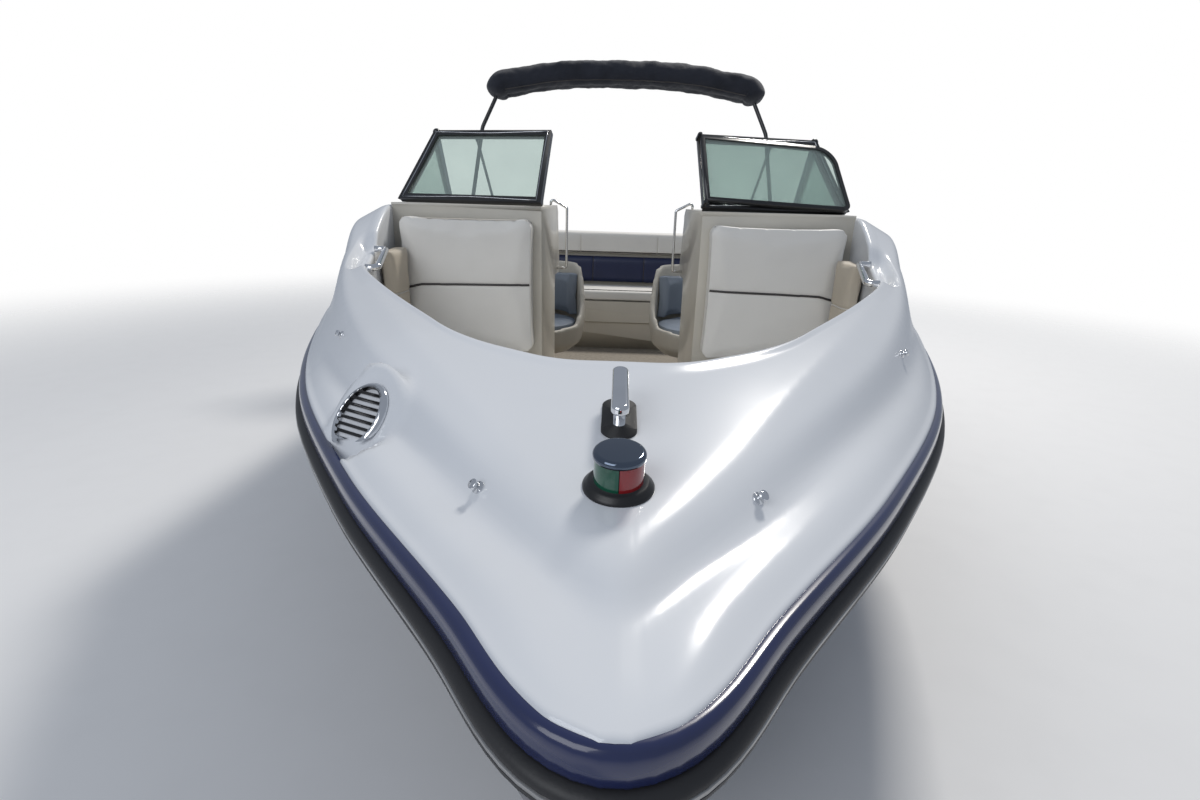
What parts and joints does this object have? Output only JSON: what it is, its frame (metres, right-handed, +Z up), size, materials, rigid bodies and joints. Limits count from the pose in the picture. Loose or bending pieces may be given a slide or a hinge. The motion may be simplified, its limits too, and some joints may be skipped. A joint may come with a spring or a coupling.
{
  "type": "speedboat",
  "caption": "Bowrider speedboat afloat: V hull, bow and main cockpits, walk-through windshield, folding top, engine hatch, swim platform and sterndrive.",
  "frame": {"origin": "on the waterline amidships, on the centreline, 2.9 m aft of the stem", "axes": "+Z up, -Y towards the bow, +Y aft, -X starboard, +X port"},
  "size_m": [2.308, 6.166, 2.8641],
  "materials": {
    "hull_navy": "gloss",
    "gelcoat_white": "gloss",
    "band_navy": "gloss",
    "rail_rubber": "satin",
    "liner_cream": "satin",
    "gauge_black": "satin",
    "wheel_black": "matte",
    "frame_black": "satin",
    "glass_green": "gloss",
    "chrome": "gloss",
    "vinyl_white": "satin",
    "vinyl_beige": "satin",
    "vinyl_navy": "satin",
    "vinyl_bluegrey": "satin",
    "shell_cream": "satin",
    "alloy_grey": "satin",
    "engine_grey": "matte",
    "drive_grey": "satin",
    "prop_steel": "satin",
    "tube_black": "satin",
    "canvas_navy": "matte",
    "lens_red_green": "gloss"
  },
  "bodies": {
    "boat": {"hull": "hull_navy", "deck_bow": "gelcoat_white", "deck_sides": "gelcoat_white", "deck_stern": "gelcoat_white", "swim_platform": "gelcoat_white", "sheer_band": "band_navy", "rub_rail": "rail_rubber", "sole": "liner_cream", "bow_liner": "liner_cream", "cockpit_liner": "liner_cream", "console_helm": "liner_cream", "console_port": "liner_cream", "bench_base": "liner_cream", "helm_gauges": "gauge_black", "throttle": "gauge_black", "bow_light_base": "gauge_black", "windshield_frame": "frame_black", "windshield_glass": "glass_green", "bow_cleat": "chrome", "horn_grille": "chrome", "cover_studs": "chrome", "grab_handles": "chrome", "stern_cleats": "chrome", "tow_eyes": "chrome", "walkway_rails": "chrome", "ladder_brackets": "chrome", "bow_light_cap": "chrome", "bow_seat_cushions": "vinyl_white", "bow_backrests": "vinyl_white", "bench_cushion": "vinyl_white", "backrest_cap": "vinyl_white", "bow_bolsters": "vinyl_beige", "backrest_panel": "vinyl_navy", "seat_pedestals": "alloy_grey", "top_mounts": "alloy_grey", "engine_block": "engine_grey", "transom_shield": "drive_grey", "bow_light_lenses": "lens_red_green"},
    "door": {"windshield_door_frame": "frame_black", "windshield_door_glass": "glass_green"},
    "wheel": {"steering_wheel": "wheel_black"},
    "seat_starboard": {"seat_shell_starboard": "shell_cream", "seat_cushion_starboard": "vinyl_bluegrey"},
    "seat_port": {"seat_shell_port": "shell_cream", "seat_cushion_port": "vinyl_bluegrey"},
    "hatch": {"engine_hatch": "gelcoat_white", "sunpad": "vinyl_white"},
    "top": {"top_frame": "tube_black", "top_boot": "canvas_navy"},
    "braces": {"top_braces": "tube_black"},
    "boarding_ladder": {"ladder": "chrome"},
    "swivel": {"drive_gimbal": "drive_grey"},
    "drive": {"drive_leg": "drive_grey"},
    "screw": {"propeller": "prop_steel"}
  },
  "joints": [
    {"name": "windshield_door", "type": "hinge", "parent": "boat", "child": "door", "pos_m": [0.31411, -0.88524, 1.24596], "axis": [0.0523, -0.602, -0.7968], "range_deg": [0, 191.8]},
    {"name": "steering_wheel_turn", "type": "hinge", "parent": "boat", "child": "wheel", "pos_m": [-0.59, -0.1307, 1.0121], "axis": [0, -0.9487, -0.3162], "range_deg": [-504, 504]},
    {"name": "seat_starboard_swivel", "type": "hinge", "parent": "boat", "child": "seat_starboard", "pos_m": [-0.5, 0.44, 0.35], "axis": [0, 0, 1], "continuous": true},
    {"name": "seat_port_swivel", "type": "hinge", "parent": "boat", "child": "seat_port", "pos_m": [0.5, 0.44, 0.35], "axis": [0, 0, 1], "continuous": true},
    {"name": "engine_hatch_lift", "type": "hinge", "parent": "boat", "child": "hatch", "pos_m": [0, 2.484, 0.918], "axis": [1, 0, 0], "range_deg": [-55, 0]},
    {"name": "top_fold", "type": "hinge", "parent": "boat", "child": "top", "pos_m": [0, 0.9, 1.0664], "axis": [-1, 0, 0], "range_deg": [0, 72]},
    {"name": "top_brace_fold", "type": "hinge", "parent": "top", "child": "braces", "pos_m": [0, 1.0355, 1.6097], "axis": [1, 0, 0], "range_deg": [0, 108]},
    {"name": "ladder_unfold", "type": "hinge", "parent": "boat", "child": "boarding_ladder", "pos_m": [-0.52, 3.072, 0.4385], "axis": [-1, 0, 0], "range_deg": [0, 265]},
    {"name": "drive_steer", "type": "hinge", "parent": "boat", "child": "swivel", "pos_m": [0, 2.736, 0.012], "axis": [0, 0, 1], "range_deg": [-28, 28]},
    {"name": "drive_trim", "type": "hinge", "parent": "swivel", "child": "drive", "pos_m": [0, 2.736, 0.012], "axis": [1, 0, 0], "range_deg": [-5, 45]},
    {"name": "propeller_spin", "type": "hinge", "parent": "drive", "child": "screw", "pos_m": [0, 3.182, -0.548], "axis": [0, 1, 0], "continuous": true}
  ],
  "couplings": [
    {"joint": "steering_wheel_turn", "follows": "drive_steer", "ratio": 18},
    {"joint": "top_brace_fold", "follows": "top_fold", "ratio": 1.5}
  ]
}
